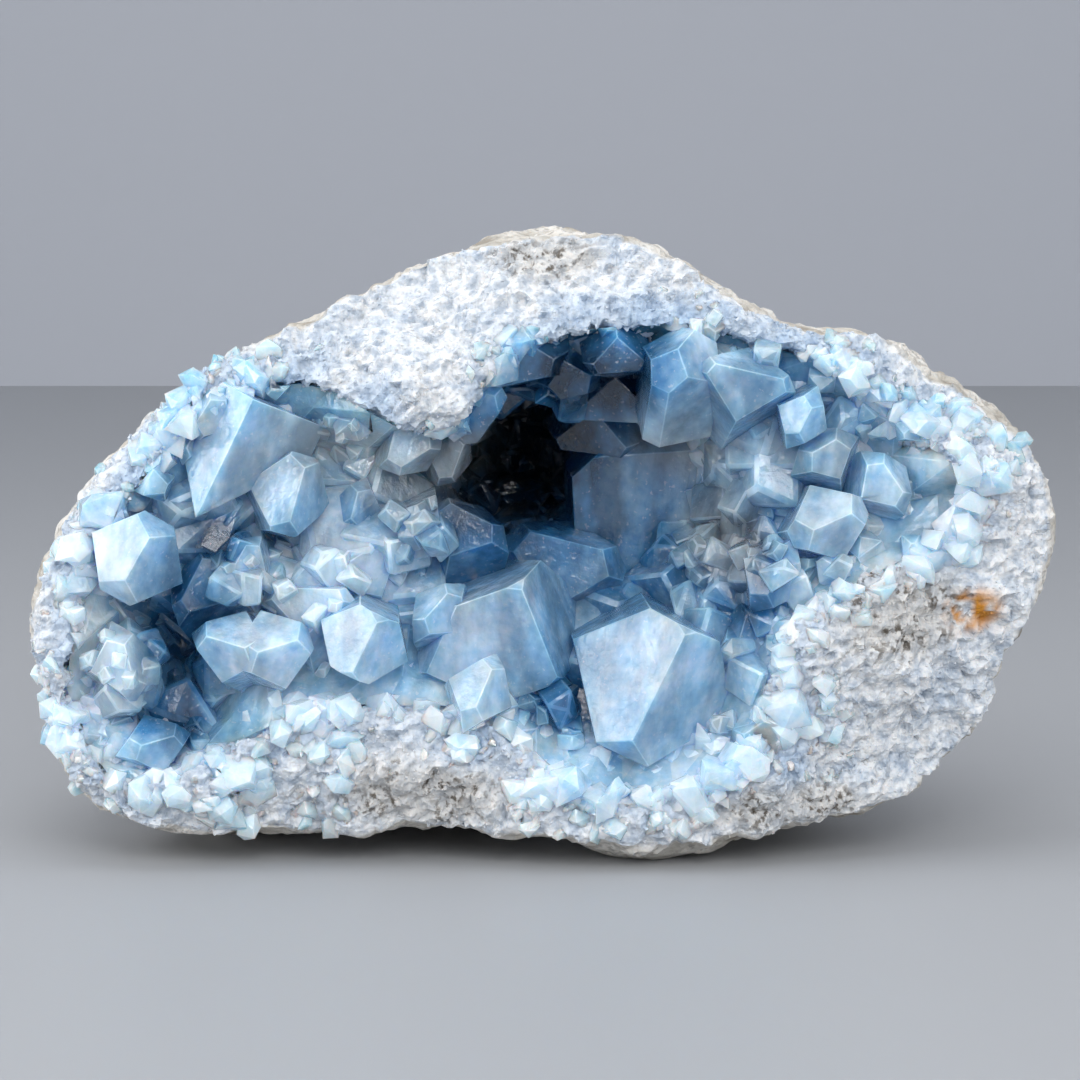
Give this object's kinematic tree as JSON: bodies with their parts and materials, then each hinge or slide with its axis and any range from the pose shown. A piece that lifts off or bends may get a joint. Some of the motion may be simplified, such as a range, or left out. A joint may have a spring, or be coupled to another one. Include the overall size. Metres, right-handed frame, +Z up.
{
  "type": "celestite geode",
  "caption": "Broken-open geode: a rounded nodule of pale sugary rock whose wide, deep hollow is lined with blue celestite crystals, blocky at the front and dark in a pit at the back.",
  "frame": {"origin": "on the ground, under the middle of the geode's box", "axes": "+X along the geode's width, to the right seen from its broken side; -Y out of the hollow; +Z up"},
  "size_m": [0.3, 0.1628, 0.1826],
  "materials": {
    "matrix": "rough, sugary white rock with grey-brown rind",
    "celestite": "milky, see-through pale blue crystal"
  },
  "bodies": {
    "root": {"matrix_rock": "matrix", "crystal_crust": "celestite"}
  },
  "joints": []
}
